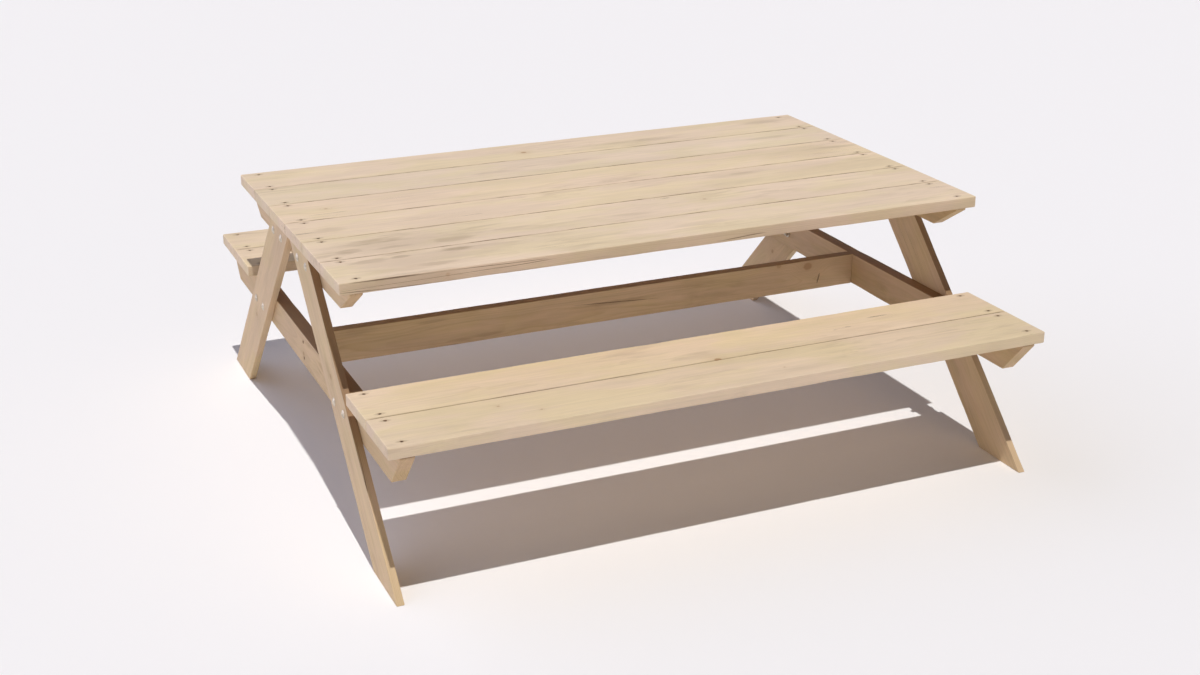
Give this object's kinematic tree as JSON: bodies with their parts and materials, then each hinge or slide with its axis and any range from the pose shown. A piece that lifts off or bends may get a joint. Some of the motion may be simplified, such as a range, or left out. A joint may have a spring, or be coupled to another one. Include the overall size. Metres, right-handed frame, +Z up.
{
  "type": "picnic table",
  "caption": "Timber picnic table: boarded tabletop and two attached boarded benches on A-frame ends, tied by a long stretcher and held by screws and cup-head bolts.",
  "frame": {"origin": "on the ground, under the middle of the tabletop", "axes": "+X runs along the boards, +Y from the front bench to the rear bench, +Z up"},
  "size_m": [1.95, 1.865, 0.75],
  "materials": {
    "tabletop_timber": "planed softwood boards, pale beige, with long grain and a few dark checks",
    "bench_timber": "planed softwood boards, pale beige, slightly yellower than the tabletop",
    "frame_timber": "planed softwood, pale brown",
    "screw_steel": "dark weathered countersunk screws",
    "zinc_steel": "zinc plated, dull silver"
  },
  "bodies": {
    "root": {"top_board_1": "tabletop_timber", "top_board_2": "tabletop_timber", "top_board_3": "tabletop_timber", "top_board_4": "tabletop_timber", "top_board_5": "tabletop_timber", "top_board_6": "tabletop_timber", "front_bench_outer_board": "bench_timber", "front_bench_inner_board": "bench_timber", "rear_bench_inner_board": "bench_timber", "rear_bench_outer_board": "bench_timber", "left_top_batten": "frame_timber", "right_top_batten": "frame_timber", "left_bench_bearer": "frame_timber", "right_bench_bearer": "frame_timber", "front_left_leg": "frame_timber", "front_right_leg": "frame_timber", "rear_left_leg": "frame_timber", "rear_right_leg": "frame_timber", "stretcher": "frame_timber", "tabletop_screws": "screw_steel", "front_bench_screws": "screw_steel", "rear_bench_screws": "screw_steel", "stretcher_screws": "screw_steel", "batten_bolts": "zinc_steel", "batten_washers": "zinc_steel", "batten_nuts": "zinc_steel", "bearer_bolts": "zinc_steel", "bearer_washers": "zinc_steel", "bearer_nuts": "zinc_steel"}
  },
  "joints": []
}
